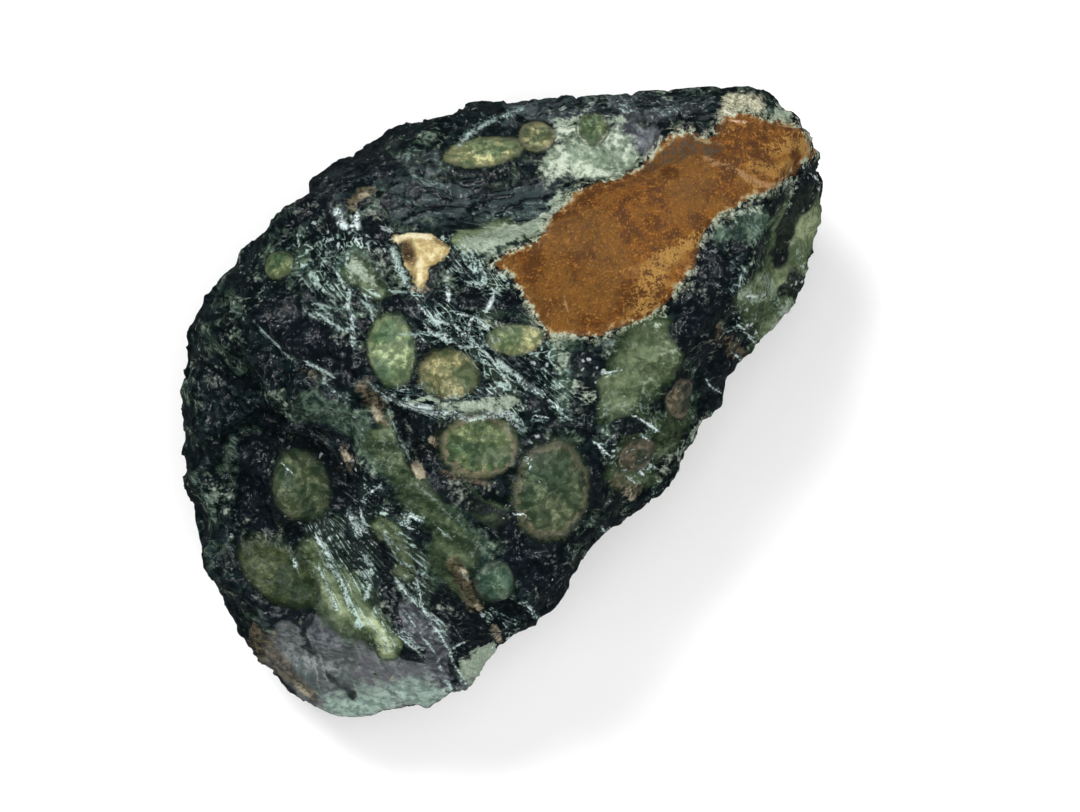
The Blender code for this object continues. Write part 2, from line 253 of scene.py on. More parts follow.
# The ledges: a line, how far it stands up at its upper left side (mm).
LEDGES = [
    ([(728, 626), (735, 631), (744, 637), (756, 641), (768, 640), (777, 641), (783, 647)], 0.7),
    ([(840, 560), (848, 562.5), (855, 567), (860, 569)], -0.18),
    ([(741, 584), (750, 582), (760, 587)], 0.3),
    ([(700, 613), (710, 623), (722, 630), (730, 636)], 0.25),
    ([(835, 590), (836, 606), (829, 618), (826, 640)], 0.3),
    ([(738, 600), (748, 603), (760, 602), (776, 605)], 0.25),
]
LEDGE_EDGE = 0.12
LEDGE_FADE = (0.5, 3.0)
# Thin mint veins and splinter edges, one of them a painted highlight on an orb, then small bright
# flats that are painted glints and highlights: half width in pixels, brightness (2 is white), and
# the line.
VEINS_AND_GLINTS = [
    (0.77, 1.1, [(727.5, 602), (727, 608), (728.3, 612), (729.3, 619.5)]),
    (0.51, 0.8, [(713.5, 594), (717, 599), (722, 603.5)]),
    (0.51, 0.9, [(719, 592), (724, 596), (727.5, 603)]),
    (0.51, 0.8, [(717, 605.5), (722, 607.5), (727, 608)]),
    (0.51, 0.9, [(717.5, 609), (722, 612.5), (727, 614.5), (729, 617)]),
    (0.42, 0.7, [(714, 608.5), (717, 611)]), (0.42, 0.7, [(711, 597), (714.5, 600.5), (716, 602)]),
    (0.51, 0.6, [(722, 590), (727, 594), (730, 597)]),
    (0.38, 0.8, [(700, 614.5), (704, 619), (710, 624)]),
    (0.59, 1.0, [(714, 624.5), (719, 627.5), (722, 629)]),
    (0.42, 0.8, [(719.5, 631), (723, 633.5), (727, 635.5)]),
    (0.38, 0.8, [(741, 602), (748, 602.5)]),
    (1.1, 0.9, [(741, 589), (742.5, 593), (744.5, 597), (746, 600)]),
    (0.59, 1.2, [(751.5, 613), (755, 616), (758, 615.5)]),
    (0.51, 1.1, [(750, 607), (754, 610.5), (761, 613), (764, 617)]),
    (0.51, 1.1, [(762, 609.5), (768, 611), (771, 614.5), (773, 618.5)]),
    (0.51, 1.0, [(757, 617.5), (763, 620), (768, 619)]),
    (0.51, 1.1, [(766, 612), (765, 617), (769, 621)]),
    (1.1, 1.1, [(775, 625), (779, 628), (784, 632), (788, 633.5)]),
    (0.51, 1.1, [(771, 622), (774, 626), (777, 631)]),
    (0.42, 0.7, [(731, 605), (734.5, 608), (735, 612)]),
    (0.51, 0.8, [(733, 631), (736, 634), (741, 635)]), (0.51, 0.9, [(767, 590), (766, 594)]),
    (0.51, 0.9, [(769, 593), (770.5, 598)]), (0.51, 0.9, [(765, 599), (771, 600.5), (775, 603)]),
    # The second line here is a painted highlight on the orb at 741, 621.
    (0.42, 0.9, [(783, 603), (786, 609), (789, 614)]), (0.42, 0.7, [(743, 616.5), (749, 616)]),
    (0.9, 1.35, [(738, 635.5), (746, 638.5), (754, 640.5), (760, 641)]),
    (1.0, 1.35, [(760, 641), (766, 643), (772, 641), (777, 641), (782, 646)]),
    (0.38, 0.6, [(739, 640), (741, 645), (746, 655), (748, 656.5)]),
    (0.67, 1.4, [(717, 680), (719, 683), (721, 685.5)]), (0.37, 0.9, [(720, 683), (724, 689)]),
    (0.89, 1.3, [(727.5, 672), (729, 676), (730, 679)]),
    (0.74, 1.3, [(731, 671), (732, 675), (733, 678)]), (0.59, 1.5, [(745.5, 673), (750, 674.7)]),
    (0.44, 1.3, [(743.5, 676), (746.5, 677)]), (0.59, 1.2, [(739.5, 681), (743, 684)]),
    (0.59, 1.0, [(731.5, 685), (733.5, 688), (734, 691)]),
    (0.59, 1.0, [(731.5, 692), (733.5, 695), (732.5, 699)]),
    (0.59, 1.3, [(742.8, 694), (745, 697), (748, 700)]),
    (0.37, 1.2, [(748.5, 693), (749.5, 698), (750.5, 703), (752, 705)]),
    (0.37, 1.0, [(752, 704), (757, 708)]), (0.33, 1.1, [(741, 710), (746, 714), (751, 718)]),
    (0.3, 1.0, [(744, 709), (748, 713), (751, 716)]),
    (0.37, 1.1, [(753.5, 708), (757, 713), (760, 719), (764, 725)]),
    (0.37, 1.2, [(759, 716), (764, 713)]), (0.7, 1.2, [(709.5, 687), (710.5, 690)]),
    (0.44, 1.1, [(718, 690), (721, 697), (724, 703)]),
    (0.44, 1.1, [(721, 688), (725, 694), (727, 700)]), (0.37, 1.1, [(734, 707), (736, 711)]),
    (0.22, 0.7, [(754, 676), (759, 680)]), (0.31, 0.3, [(751, 665), (757, 671), (764, 677)]),
    (0.77, 0.7, [(859, 598), (862, 604), (864, 609)]),
    (0.42, 0.5, [(748, 565), (752, 568), (757, 568.5)]), (0.42, 0.5, [(783, 574), (791, 574.5)]),
    (0.42, 0.4, [(742, 573), (750, 575)]), (0.51, 0.4, [(772, 579), (786, 577)]),
    (0.68, 0.8, [(762, 556), (767, 551.5), (773, 548), (782, 545)]),
    (1.0, 0.9, [(840, 560), (848, 562.5), (855, 567), (860, 568.5), (865, 568)]),
    # From here on, all but the faint line at 795.5, 604 are painted glints: white dashes where
    # small flats would catch a lamp. The dash at 707, 657.5 is a painted highlight on the knob.
    (1.7, 1.7, [(723.5, 577), (724.5, 579.5), (725.8, 581.8)]),
    (1.1, 1.8, [(729.8, 578.5), (730, 582)]), (0.5, 0.8, [(795.5, 604), (796.5, 608)]),
    (0.64, 1.8, [(738, 582), (740, 583)]), (0.37, 1.7, [(729.5, 586.5), (730.5, 588)]),
    (0.8, 2.0, [(771.5, 608), (773, 604.5)]), (0.64, 1.8, [(758.5, 601), (759, 604)]),
    (0.4, 2.0, [(818, 642), (824, 646)]), (0.48, 2.0, [(805.5, 651), (809, 654)]),
    (0.37, 1.6, [(854.5, 604.5), (858, 603.5)]), (0.37, 1.6, [(851, 613), (855, 618)]),
    (0.37, 1.6, [(841, 631), (844, 633.5)]), (0.5, 1.3, [(848, 548), (853, 548.5)]),
    (0.37, 1.5, [(874, 566), (876, 568)]), (0.43, 1.5, [(873, 596), (877, 592)]),
    (0.37, 1.7, [(780.5, 673), (782, 673.5)]), (0.37, 1.4, [(707, 657.5), (709, 659)]),
    (0.37, 1.5, [(783, 701), (785, 703)]), (0.31, 1.5, [(786, 705), (789, 706)]),
    (0.5, 1.6, [(773, 715), (776, 717)]), (0.37, 1.5, [(816, 661), (817, 662)]),
    (0.37, 1.5, [(819.5, 659), (820.5, 660)]), (0.37, 1.5, [(822, 656.5), (823.5, 657.5)]),
    (0.32, 1.7, [(733, 666), (737, 663.5)]), (0.31, 1.6, [(808, 677.5), (809, 678.5)]),
    (0.37, 1.5, [(764, 692), (765, 693)]), (0.43, 1.6, [(793, 638), (794, 639)]),
    (0.43, 1.2, [(784, 656), (785, 658)]), (0.31, 1.3, [(808, 628), (812, 627)]),
    (0.37, 1.3, [(849, 622), (853, 627)]), (0.31, 1.2, [(862, 619), (866, 613)]),
    (0.37, 1.3, [(786, 642), (789, 642)]), (0.37, 1.4, [(820, 648), (821, 649)]),
]
VEIN_AND_GLINT_FADE = (0.18, 0.42)
# The splinters beside the toe fan out from this place in the photograph.
FAN_MIDDLE = (698, 645)
FAN_RADIUS = 12.0
# Tints of the orbs.
OLIVE = (0.080, 0.112, 0.058)
DEEP_OLIVE = (0.056, 0.078, 0.048)
PALE_OLIVE = (0.130, 0.185, 0.108)
STRAW_OLIVE = (0.190, 0.215, 0.120)
TAN_OLIVE = (0.150, 0.160, 0.090)
TEAL_OLIVE = (0.055, 0.095, 0.075)
SMOKE = (0.070, 0.066, 0.050)
LEAF_OLIVE = (0.030, 0.045, 0.022)
# Orbs that the photograph shows: x, y, half width, half height, turn (degrees), tint, rim,
# dome (mm). Each goes PINNED_DEPTH times its wider half size into the rock.
KNOB = (712.3, 664, 9.8, 12.3, 6, DEEP_OLIVE, 0.0, 0.4)
PINNED_ORBS = [
    (741, 621, 7.5, 11.5, 5, PALE_OLIVE, 0.1, 0.22),
    (758.5, 628.5, 10, 8, 0, TAN_OLIVE, 0.2, 0.15),
    (780, 617.5, 9, 5, 5, STRAW_OLIVE, 0.2, 0.10),
    (768.5, 651, 13, 10.5, 0, OLIVE, 1.0, 0.25),
    (791.5, 665.5, 12.5, 16.5, -5, DEEP_OLIVE, 0.6, 0.25),
    (832, 636, 6, 7, 0, SMOKE, 1.0, 0.12),
    KNOB,
    (770, 558.2, 13, 5, 8, STRAW_OLIVE, 0.5, 0.1),
    (786.5, 553.5, 6, 5.5, 0, TAN_OLIVE, 0.7, 0.08),
    (804.5, 551, 5, 5.5, 0, OLIVE, 0.2, 0.12),
    (705, 594, 5, 5, 0, OLIVE, 0.2, 0.1),
    (704.5, 691.5, 15, 8.5, -38, LEAF_OLIVE, 0.0, 0.1),
    (773, 695, 6.5, 8, -20, TEAL_OLIVE, 0.2, 0.1),
    (819, 654, 7, 5.5, 20, SMOKE, 0.4, 0.1),
]
PINNED_DEPTH = 2.2
# Orbs on the sides that the photograph doesn't show, strewn by chance (mm): only where the
# skin faces that much away from the camera, and not on the foot.
HIDDEN_ORBS = 46
HIDDEN_TRIES = 4000
HIDDEN_ORB_RADII = (1.4, 2.9)
HIDDEN_ORB_GAP = 0.85
HIDDEN_DOME = 0.15
HIDDEN_FACING = -0.2
HIDDEN_LOWEST = 0.2
HIDDEN_SEED = 5
STONE_CENTRE = Vector((-1.6, 3.0, 11.7))
HIDDEN_TINTS = [OLIVE, DEEP_OLIVE, DEEP_OLIVE, TEAL_OLIVE, SMOKE, PALE_OLIVE, TAN_OLIVE]
# The edges of marks and orbs wander: the size of each wave and how far it pushes (mm), and
# how much of that push a fine mark and an orb take.
WAVES = [(2.6, 0.75), (0.9, 0.28)]
FINE_MARK_PUSH = 0.25
ORB_PUSH = 0.2
# Rust lies only on the upper faces: it fades out between these heights (mm). Out of the
# camera's view an outline counts as this much further off (mm).
RUST_FOOT = (7.0, 10.0)
FAR_OFF = 4.0


def smooth_step(value, low, high):
    share = np.clip((value - low) / (high - low), 0.0, 1.0)
    return share * share * (3.0 - 2.0 * share)


def to_line(across, up, start, end):
    """Distance from each point to a straight line, and on which side of it the point is."""
    (ax, ay), (bx, by) = start, end
    dx, dy = bx - ax, by - ay
    along = np.clip(((across - ax) * dx + (up - ay) * dy) / (dx * dx + dy * dy), 0.0, 1.0)
    ox, oy = across - ax - along * dx, up - ay - along * dy
    return np.hypot(ox, oy), np.sign(dx * oy - dy * ox)


def under_strokes(across, up, strokes):
    """How much of the strokes lies on each point: full at the middle, fading at the rim."""
    cover = np.zeros(len(across))
    full, none = STROKE_FADE
    for x0, y0, x1, y1, half, strength in strokes:
        away, side = to_line(across, up, on_plane(x0, y0), on_plane(x1, y1))
        reach = half * MM_PER_PIXEL
        fade = smooth_step(away, full * reach, none * reach)
        cover = np.maximum(cover, strength * (1.0 - fade))
    return cover


def along_veins_and_glints(across, up):
    """For each point its nearest line among the veins and painted glints: how many of its half
    widths it is off that line, with a sign for the side that it is on, how many mm that is, and how
    bright that line is."""
    nearest = np.full(len(across), 99.0)
    off = np.full(len(across), 99.0)
    side_of = np.ones(len(across))
    glow = np.zeros(len(across))
    for half, bright, places in VEINS_AND_GLINTS:
        corners = [on_plane(x, y) for x, y in places]
        for start, end in zip(corners, corners[1:]):
            away, side = to_line(across, up, start, end)
            widths = away / (half * MM_PER_PIXEL)
            closer = widths < nearest
            nearest = np.where(closer, widths, nearest)
            off = np.where(closer, away, off)
            side_of = np.where(closer, side, side_of)
            glow = np.where(closer, bright, glow)
    return nearest * side_of, off, glow


def from_outline(across, up, outline):
    """Signed distance to a closed outline in mm, below zero inside it."""
    corners = [on_plane(x, y) for x, y in outline]
    nearest = np.full(len(across), 1e3)
    inside = np.zeros(len(across), bool)
    for start, end in zip(corners, corners[1:] + corners[:1]):
        away, side = to_line(across, up, start, end)
        nearest = np.minimum(nearest, away)
        if start[1] != end[1]:
            crosses = (start[1] > up) != (end[1] > up)
            at = start[0] + (up - start[1]) * (end[0] - start[0]) / (end[1] - start[1])
            inside ^= crosses & (across < at)
    return np.where(inside, -nearest, nearest)


def ledge_rise(across, up, shown):
    """How far the ledges lift each point (mm)."""
    lift = np.zeros(len(across))
    for line, height in LEDGES:
        places = [on_plane(x, y) for x, y in line]
        nearest = np.full(len(across), 1e3)
        side_of = np.zeros(len(across))
        for start, end in zip(places, places[1:]):
            away, side = to_line(across, up, start, end)
            closer = away < nearest
            nearest = np.where(closer, away, nearest)
            side_of = np.where(closer, side, side_of)
        step = smooth_step(side_of * nearest, -LEDGE_EDGE, LEDGE_EDGE)
        lift += height * step * (1.0 - smooth_step(nearest, *LEDGE_FADE)) * shown
    return lift


def read_points(mesh):
    """The mesh's points (mm) and which way each faces."""
    points = np.empty(len(mesh.vertices) * 3)
    normals = np.empty(len(mesh.vertices) * 3)
    mesh.vertices.foreach_get("co", points)
    mesh.vertices.foreach_get("normal", normals)
    return points.reshape(-1, 3) * MM, normals.reshape(-1, 3)


def bent(points):
    """How far the marks and orbs are pushed about at each point (mm)."""
    shifts = []
    for place in points.tolist():
        place = Vector(place)
        pushes = [noise.noise_vector(place / size) * amount for size, amount in WAVES]
        shifts.append(sum(pushes, Vector()))
    return np.array(shifts)


def marks_on(points, normals, shift):
    """Every mark's share or distance at each point. Marks lie only on what faces the camera."""
    across, up = seen(points + shift * FINE_MARK_PUSH)
    across_bent, up_bent = seen(points + shift)
    to_eye = np.array(EYE) * MM - points
    to_eye /= np.linalg.norm(to_eye, axis=1)[:, None]
    facing = (normals * to_eye).sum(axis=1)
    shown = smooth_step(facing, *MARK_FACING)
    marks = {"shown": shown}
    for name, strokes in BROKEN_STROKES.items():
        marks[name] = under_strokes(across_bent, up_bent, strokes) * shown
    for name, strokes in SMALL_STROKES.items():
        marks[name] = under_strokes(across, up, strokes) * shown
    marks["line"], off_line, glow = along_veins_and_glints(across, up)
    glow = glow * smooth_step(facing, *VEIN_AND_GLINT_FACING)
    marks["line_glow"] = glow * (1.0 - smooth_step(off_line, *VEIN_AND_GLINT_FADE))
    fan_across, fan_up = on_plane(*FAN_MIDDLE)
    fan_across, fan_up = across - fan_across, up - fan_up
    turn = np.arctan2(fan_up, fan_across)
    marks["fan"] = np.stack([turn * FAN_RADIUS, np.hypot(fan_across, fan_up), 0.0 * turn], axis=1)
    for name, outline in [("rust", RUST_OUTLINE), ("rind", RIND_OUTLINE), ("toe", TOE_OUTLINE)]:
        marks[name] = from_outline(across, up, outline) + FAR_OFF * (1.0 - shown)
    marks["rust"] += FAR_OFF * (1.0 - smooth_step(points[:, 2], *RUST_FOOT))
    marks["ledge"] = ledge_rise(across, up, shown)
    return marks


# Its body: the mesh starts from the CAD stone, which has the flat fractures and the big
# scars, and gets the small chips and the grain of real rock here.
FINE_VOXEL = 0.00018
FINE_SOFTENING = 0.5
FINE_SOFTENING_PASSES = 14
TRIANGLES_WANTED = 188000
STONE_SEED = 23

noise.seed_set(STONE_SEED)
rough = bpy.data.meshes.new("jasper_rough")
bm = bmesh.new()
bm.from_mesh(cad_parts["jasper_stone"].data)
bmesh.ops.remove_doubles(bm, verts=bm.verts, dist=1e-6)
bm.to_mesh(rough)
bm.free()
stone = bpy.data.objects.new("jasper", rough)
bpy.context.scene.collection.objects.link(stone)


def settle(obj):
    """Turns the object's modifiers into its mesh."""
    graph = bpy.context.evaluated_depsgraph_get()
    mesh = bpy.data.meshes.new_from_object(obj.evaluated_get(graph))
    obj.modifiers.clear()
    obj.data = mesh


remesh = stone.modifiers.new("fine skin", "REMESH")
remesh.mode = "VOXEL"
remesh.voxel_size = FINE_VOXEL
soften = stone.modifiers.new("soften the CAD's facets", "SMOOTH")
soften.factor = FINE_SOFTENING
soften.iterations = FINE_SOFTENING_PASSES
settle(stone)

# Where each orb is: its centre (mm), its own axes, its half sizes along them, its tint, its
# rim and how far it domes out of the broken face.
points, normals = read_points(stone.data)
skin = BVHTree.FromObject(stone, bpy.context.evaluated_depsgraph_get())
orbs = []
for x, y, half_width, half_height, turn, tint, rim, dome in PINNED_ORBS:
    across, up = on_plane(x, y)
    target = AIM + (RIGHT * across + UP * up) / MM
    place = skin.ray_cast(EYE, (target - EYE).normalized())[0] * MM
    turn = math.radians(turn)
    wide = RIGHT * math.cos(turn) + UP * math.sin(turn)
    tall = UP * math.cos(turn) - RIGHT * math.sin(turn)
    sizes = (half_width * MM_PER_PIXEL, half_height * MM_PER_PIXEL)
    orbs.append((place, (wide, tall, BACK), sizes + (PINNED_DEPTH * max(sizes),), tint, rim, dome))

chance = random.Random(HIDDEN_SEED)
tries = 0
while len(orbs) < len(PINNED_ORBS) + HIDDEN_ORBS and tries < HIDDEN_TRIES:
    tries += 1
    way = Vector([chance.gauss(0.0, 1.0) for axis in range(3)]).normalized()
    radius = chance.uniform(*HIDDEN_ORB_RADII)
    tint = chance.choice(HIDDEN_TINTS)
    rim = chance.random()
    hit = skin.ray_cast(STONE_CENTRE / MM, way)
    place, outward = hit[0] * MM, hit[1]
    facing = outward.dot((EYE - hit[0]).normalized())
    if facing > HIDDEN_FACING or place.z < HIDDEN_LOWEST:
        continue
    gaps = [(place - orb[0]).length - (radius + max(orb[2][:2])) * HIDDEN_ORB_GAP for orb in orbs]
    if min(gaps) < 0.0:
        continue
    place = place - outward * radius * chance.uniform(0.0, 0.5)
    sizes = (radius, radius * chance.uniform(0.75, 1.0), radius * chance.uniform(0.8, 1.1))
    axes = (Vector((1, 0, 0)), Vector((0, 1, 0)), Vector((0, 0, 1)))
    orbs.append((place, axes, sizes, tint, rim, HIDDEN_DOME))


def orbs_on(points, shift, shown):
    """At each point, how far out of its nearest orb it is (1 on its edge), which way, and whose."""
    reach = np.full(len(points), 9.0)
    way = np.zeros((len(points), 3))
    owner = np.zeros(len(points), int)
    for number, (centre, axes, sizes, tint, rim, dome) in enumerate(orbs):
        away = points + shift * ORB_PUSH - np.array(centre)
        parts = [(away @ np.array(axis)) / size for axis, size in zip(axes, sizes)]
        here = np.sqrt(parts[0] ** 2 + parts[1] ** 2 + parts[2] ** 2)
        if number >= len(PINNED_ORBS):
            here = here + 2.0 * shown
        closer = here < reach
        reach = np.where(closer, here, reach)
        way = np.where(closer[:, None], away / max(sizes), way)
        owner = np.where(closer, number, owner)
    return reach, way, owner


# The chips, in mm: their size, how far their levels differ, their tilt, their dish, and a
# seed that shifts them.
STONE_CHIPS = [
    (4.4, 0.16, 0.10, 0.22, 4.0),
    (1.7, 0.06, 0.18, 0.09, 15.0),
    (0.8, 0.015, 0.22, 0.03, 27.0),
]
CHIP_LEDGE_SLOPE = 0.9
CHIP_WANDER = 0.35
CHIP_WANDER_SIZE = 0.9
LEVEL_SCRAMBLE = 97.0
LEAN_SCRAMBLE = 53.0
# The grain of the rock (mm), and the size of the patches where it is coarser.
SKIN_GRAIN_SIZE = 0.5
SKIN_GRAIN = 0.035
PATCH_SIZE = 3.5
# Long sharp ridges where the rock splintered: which way they run, their spacing and their
# height (mm), and how much shorter than wide they are drawn.
RIDGES = [
    ("splinters", RIGHT * 0.52 - UP * 0.85, 0.42, 0.24),
    ("net", RIGHT * 0.72 - UP * 0.70, 0.50, 0.16),
    ("streaks", RIGHT * 0.99 + UP * 0.10, 0.50, 0.12),
]
RIDGE_DRAWN = 0.13
RIDGE_SHARPNESS = 2.2
# Faces that broke clean: a mark, how much of the chips it takes away, and how far inside
# its outline that begins and is full (mm).
CLEAN_FACES = [("rust", 0.92, -0.15, 0.35), ("toe", 0.7, -0.4, 0.6), ("rind", 0.6, -0.3, 0.2)]
ORB_CLEAN, ORB_CLEAN_EDGE = 0.75, (0.85, 1.15)
GREEN_CLEAN = 0.35
FOOT_FADE = 1.2
# Steps of the skin (mm): the groove round an orb's dome, the rind over the rock, its pit, and
# the hollow round the knob, pressed in further than the CAD has it. Round an orb, edges are
# in its half sizes, and elsewhere in mm.
DOME_EDGE = (0.5, 1.05)
GROOVE_DEPTH, GROOVE_AT, GROOVE_WIDTH = 0.08, 1.05, 0.1
RIND_THICKNESS, RIND_EDGE = 0.4, (-0.15, 0.25)
PIT_DEPTH = 0.7
HOLLOW_DEPTH, HOLLOW_EDGE = 1.1, (0.95, 1.3)


def chipped(place, size, step, tilt, dish, seed):
    """Height of a surface chipped into small dished facets that meet in sharp ridges."""
    shifted = place / size + Vector((seed, seed, seed))
    distances, centres = noise.voronoi(shifted)
    heights = []
    for distance, centre in zip(distances[:3], centres[:3]):
        level = noise.cell(centre * LEVEL_SCRAMBLE) * step + dish * distance**2
        lean = noise.cell_vector(centre * LEAN_SCRAMBLE) * 2.0 - Vector((1.0, 1.0, 1.0))
        edge = (distance - distances[0]) * size * CHIP_LEDGE_SLOPE / 2
        heights.append(level + lean.dot(shifted - centre) * size * tilt + edge)
    return min(heights)


shift = bent(points)
marks = marks_on(points, normals, shift)
reach, way, owner = orbs_on(points, shift, marks["shown"])
share = np.ones(len(points))
for name, clean, begins, full in CLEAN_FACES:
    share *= 1.0 - clean * smooth_step(-marks[name], begins, full)
share *= 1.0 - ORB_CLEAN * (1.0 - smooth_step(reach, *ORB_CLEAN_EDGE))
share *= 1.0 - GREEN_CLEAN * marks["green"]
share *= smooth_step(points[:, 2], 0.0, FOOT_FADE)

heights = np.zeros(len(points))
for number, place in enumerate(points.tolist()):
    place = Vector(place)
    wandered = place + noise.noise_vector(place / CHIP_WANDER_SIZE) * CHIP_WANDER
    for chips in STONE_CHIPS:
        heights[number] += chipped(wandered, *chips)
    coarser = 1.0 + 2.0 * noise.noise(place / PATCH_SIZE)
    heights[number] += noise.noise(place / SKIN_GRAIN_SIZE) * SKIN_GRAIN * coarser
heights -= heights.mean()

rise = share * heights
for name, way_along, size, height in RIDGES:
    along = np.array(way_along.normalized())
    drawn = points - (points @ along)[:, None] * along * (1.0 - RIDGE_DRAWN)
    waves = np.array([noise.noise(Vector(place) / size) for place in drawn.tolist()])
    rise += marks[name] * (1.0 - np.abs(waves) * RIDGE_SHARPNESS) * height
domes = np.array([orb[5] for orb in orbs])[owner]
groove = GROOVE_DEPTH * np.exp(-(((reach - GROOVE_AT) / GROOVE_WIDTH) ** 2))
rise += domes * (1.0 - smooth_step(reach, *DOME_EDGE)) - groove
rise += RIND_THICKNESS * smooth_step(-marks["rind"], *RIND_EDGE) - PIT_DEPTH * marks["pit"]
rise += marks["ledge"] - HOLLOW_DEPTH * marks["hollow"] * smooth_step(reach, *HOLLOW_EDGE)
moved = points + normals * rise[:, None]

# The wall that rises behind the knob stands back, so that the whole knob is seen: from this
# height up (mm), and in the knob's own half sizes how near it comes and how far it is pushed.
WALL_FOOT = 17.0
WALL_NEAREST, WALL_REACH = 1.1, 1.7
knob_across, knob_up = on_plane(*KNOB[:2])
across, up = seen(moved)
side = (across - knob_across) / (KNOB[2] * MM_PER_PIXEL)
rear = (up - knob_up) / (KNOB[3] * MM_PER_PIXEL)
near = np.hypot(side, rear)
wanted = WALL_NEAREST + near * (1.0 - WALL_NEAREST / WALL_REACH)
push = np.clip(wanted / np.maximum(near, 0.05) - 1.0, 0.0, 3.0)
push *= smooth_step(moved[:, 2], WALL_FOOT, WALL_FOOT + 1.0)
moved += np.outer(push * side * KNOB[2] * MM_PER_PIXEL, np.array(RIGHT))
moved += np.outer(push * rear * KNOB[3] * MM_PER_PIXEL, np.array(UP))
moved[:, 2] = np.maximum(moved[:, 2], 0.0)
stone.data.vertices.foreach_set("co", (moved / MM).ravel())
stone.data.update()

thin = stone.modifiers.new("thin flat places", "DECIMATE")
triangles_now = sum(len(polygon.vertices) - 2 for polygon in stone.data.polygons)
thin.ratio = min(1.0, TRIANGLES_WANTED / triangles_now)
settle(stone)
stone.data.name = "jasper"
for polygon in stone.data.polygons:
    polygon.use_smooth = True

# What the finish reads at each point of the finished skin.
points, normals = read_points(stone.data)
shift = bent(points)
marks = marks_on(points, normals, shift)
reach, way, owner = orbs_on(points, shift, marks["shown"])


def give(name, values):
    """Keeps a value or a colour for each point on the mesh, for the finish to read."""
    kind = "FLOAT_VECTOR" if values.ndim == 2 else "FLOAT"
    attribute = stone.data.attributes.new(name, kind, "POINT")
    attribute.data.foreach_set("vector" if values.ndim == 2 else "value", values.ravel())


for name, values in marks.items():
    if name not in ("shown", "ledge", "hollow"):
        give(name, values)
# Clouds of the rock that are wider than a millimetre, kept on the mesh as shares about 0.5:
# their size (mm) and how many finer layers they have.
CLOUDS = [("broad", 5.0, 3), ("coarse", 2.4, 3), ("middle", 1.25, 4)]
CLOUD_SPREAD = 0.10
DRIFT_SIZE = 5.5
for name, size, octaves in CLOUDS:
    cloud = np.array([noise.fractal(Vector(p) / size, 0.6, 2.0, octaves) for p in points.tolist()])
    give(name, 0.5 + CLOUD_SPREAD * (cloud - cloud.mean()) / cloud.std())
give("drift", np.array([noise.noise_vector(Vector(p) / DRIFT_SIZE) for p in points.tolist()]))
give("orb_reach", reach)
give("orb_way", way)
give("orb_tint", np.array([orb[3] for orb in orbs])[owner])
give("orb_rim", np.array([orb[4] for orb in orbs])[owner])
# How much of the small flats and of the grain the face keeps: less on rust, orbs and black.
FLAT_RELIEF, GRAIN_RELIEF, RUST_RELIEF = 0.34, 0.028, 0.05
rusty = 1.0 - smooth_step(marks["rust"], -0.12, 0.10)
black = smooth_step(marks["dark"], 0.3, 0.8)
round_orb = 1.0 - smooth_step(reach, 0.84, 1.05)
calm = 1.0 - 0.9 * np.maximum(rusty, 0.8 * np.maximum(black, round_orb))
give("flat_share", FLAT_RELIEF * calm)
give("grain_share", GRAIN_RELIEF * calm + RUST_RELIEF * rusty)

# Its finish: fresh broken jasper, as if oiled. Blue-black matrix with mint threads, olive
# orbs, one face stained by rust, one chip of buff rind and a dull grey toe.
jasper = bpy.data.materials.new("jasper")
jasper.use_nodes = True
rock = jasper.node_tree
shader = rock.nodes["Principled BSDF"]


def fill(socket, value):
    """Links an output to the input, or sets the input to a number or colour."""
    if isinstance(value, bpy.types.NodeSocket):
        socket.id_data.links.new(value, socket)
    elif isinstance(value, tuple) and len(value) == 3 and socket.type == "RGBA":
        socket.default_value = (*value, 1.0)
    else:
        socket.default_value = value


def add(kind, values=(), tree=rock, **settings):
    """A new node with its settings made and its inputs filled."""
    made = tree.nodes.new(kind)
    for name, value in settings.items():
        setattr(made, name, value)
    for name, value in dict(values).items():
        fill(made.inputs[name], value)
    return made


def maths(operation, first, second=0.0, tree=rock):
    return add("ShaderNodeMath", {0: first, 1: second}, tree, operation=operation).outputs[0]


def vectors(operation, first, second=(0.0, 0.0, 0.0), tree=rock):
    made = add("ShaderNodeVectorMath", {0: first, 1: second}, tree, operation=operation)
    return made.outputs["Value" if operation == "DOT_PRODUCT" else "Vector"]


def scaled(vector, factor):
    made = add("ShaderNodeVectorMath", {0: vector, "Scale": factor}, operation="SCALE")
    return made.outputs["Vector"]


def between(value, low, high, to_low=0.0, to_high=1.0, tree=rock):
    """The value spread from low..high to to_low..to_high, smoothly and no further."""
    return add("ShaderNodeMapRange", {
        "Value": value, "From Min": low, "From Max": high,
        "To Min": to_low, "To Max": to_high,
    }, tree, interpolation_type="SMOOTHSTEP").outputs["Result"]


def mottle(where, scale, detail, rough, tree=rock):
    """A smooth noise about 0.5."""
    return add("ShaderNodeTexNoise", {
        "Vector": where, "Scale": scale, "Detail": detail, "Roughness": rough,
    }, tree).outputs["Fac"]


def mark(name, output="Fac"):
    """What the mesh keeps under that name."""
    return add("ShaderNodeAttribute", attribute_name=name).outputs[output]


def both(first, second):
    return maths("MULTIPLY", first, second)


def either(first, second):
    return maths("MAXIMUM", first, second)


def wobble(value, *pushes):
    """The value pushed up and down by noises, so that what it cuts has a broken edge. Each
    noise is followed by how far it pushes."""
    for by, amount in zip(pushes[::2], pushes[1::2]):
        value = maths("ADD", value, both(maths("SUBTRACT", by, 0.5), amount))
    return value


def blend(share, first, second, how="MIX"):
    """The first colour, with the second over it where the share is 1."""
    return add(
        "ShaderNodeMix", {0: share, 6: first, 7: second}, data_type="RGBA", blend_type=how,
    ).outputs[2]


def times(colour, factors):
    return blend(1.0, colour, factors, "MULTIPLY")


